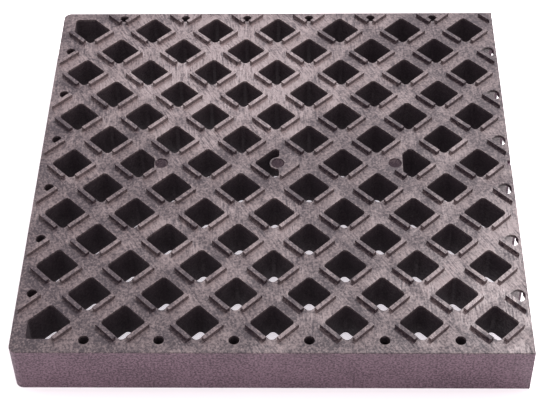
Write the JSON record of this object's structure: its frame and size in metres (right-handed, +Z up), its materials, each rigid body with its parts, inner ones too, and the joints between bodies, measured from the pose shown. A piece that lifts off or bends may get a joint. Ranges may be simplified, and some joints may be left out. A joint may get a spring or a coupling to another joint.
{
  "type": "lattice bench mat",
  "caption": "Square moulded plastic lattice mat on a deep skirt, with diagonal bands, open wells, raised stop ribs and edge fixing holes, for greenhouse benches.",
  "frame": {"origin": "on the floor, under the middle of the panel", "axes": "+X to the right, towards the side with the edge wells; +Y to the back; +Z up, out of the deck"},
  "size_m": [0.605, 0.605, 0.072],
  "materials": {
    "moulding": "satin, flow-streaked"
  },
  "bodies": {
    "root": {"back_edge_ribs": "moulding", "back_fixing_bosses": "moulding", "back_fixing_plates": "moulding", "corner_deck_back_left": "moulding", "corner_deck_front_left": "moulding", "corner_post_back_left": "moulding", "corner_post_front_left": "moulding", "corner_well_back_left": "moulding", "corner_well_front_left": "moulding", "deck_bands": "moulding", "deck_links": "moulding", "front_fixing_bosses": "moulding", "front_fixing_plates": "moulding", "gate_land_left": "moulding", "gate_land_middle": "moulding", "gate_land_right": "moulding", "left_edge_ribs": "moulding", "left_fixing_bosses": "moulding", "left_fixing_plates": "moulding", "rib_row_01": "moulding", "rib_row_02": "moulding", "rib_row_03": "moulding", "rib_row_04": "moulding", "rib_row_05": "moulding", "rib_row_06": "moulding", "rib_row_07": "moulding", "rib_row_08": "moulding", "rib_row_09": "moulding", "rib_row_10": "moulding", "rib_row_11": "moulding", "rib_row_12": "moulding", "rib_row_13": "moulding", "right_corner_plates": "moulding", "right_edge_gussets": "moulding", "right_edge_ribs": "moulding", "right_edge_wells": "moulding", "skirt_back": "moulding", "skirt_front": "moulding", "skirt_left": "moulding", "skirt_right": "moulding", "well_row_01": "moulding", "well_row_02": "moulding", "well_row_03": "moulding", "well_row_04": "moulding", "well_row_05": "moulding", "well_row_06": "moulding", "well_row_07": "moulding", "well_row_08": "moulding", "well_row_09": "moulding", "well_row_10": "moulding", "well_row_11": "moulding", "well_row_12": "moulding", "well_row_13": "moulding"}
  },
  "joints": []
}
